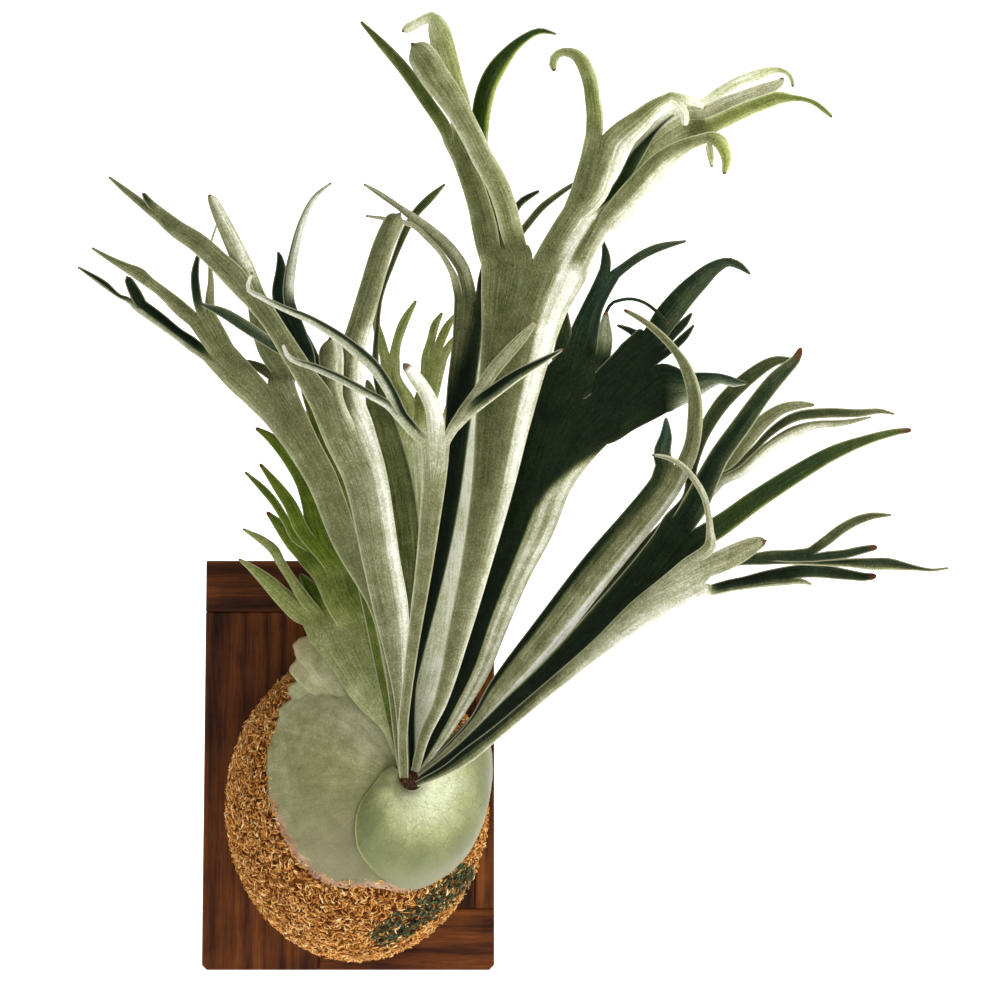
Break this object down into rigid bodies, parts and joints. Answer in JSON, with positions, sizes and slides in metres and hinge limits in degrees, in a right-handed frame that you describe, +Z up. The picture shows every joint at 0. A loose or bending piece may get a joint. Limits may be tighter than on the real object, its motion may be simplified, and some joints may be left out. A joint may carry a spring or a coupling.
{
  "type": "mounted staghorn fern",
  "caption": "Wall-hung staghorn fern: antler-like forked fronds and round shield fronds on a ball of moss fixed to a dark stained plank board.",
  "frame": {"origin": "centre of the backing panel's rear face, on the wall", "axes": "+X to the viewer's right, +Y into the wall, +Z up; the fronds grow up and towards -Y"},
  "size_m": [0.8166, 0.364, 0.9297],
  "materials": {
    "backing": "bare ply, dull",
    "stained_wood": "dark walnut stain, satin",
    "moss": "dry shredded sphagnum, matt fibres",
    "scales": "fuzzy brown scales",
    "pale_shield": "living leaf, felted, matt",
    "bright_shield": "living leaf, fine net of veins",
    "green_shield": "living leaf, thin, satin",
    "silver_blade": "living leaf, silver felt",
    "olive_blade": "living leaf, thin felt",
    "dark_blade": "living leaf, waxy dark green"
  },
  "bodies": {
    "root": {"backing_panel": "backing", "top_rail": "stained_wood", "left_stile": "stained_wood", "centre_panel": "stained_wood", "right_stile": "stained_wood", "bottom_rail": "stained_wood", "moss_mound": "moss", "rhizome_crown": "scales", "shield_left": "pale_shield", "shield_low_right": "bright_shield", "shield_upper_left": "green_shield", "shield_upper_back": "green_shield", "frond_outer_left": "silver_blade", "frond_left": "silver_blade", "frond_left_back": "dark_blade", "frond_centre_back": "olive_blade", "frond_front": "silver_blade", "frond_olive_back": "olive_blade", "frond_tall": "silver_blade", "frond_dark": "dark_blade", "frond_right_strap": "silver_blade", "frond_right": "dark_blade", "frond_right_back": "dark_blade", "frond_low_right": "dark_blade"}
  },
  "joints": []
}
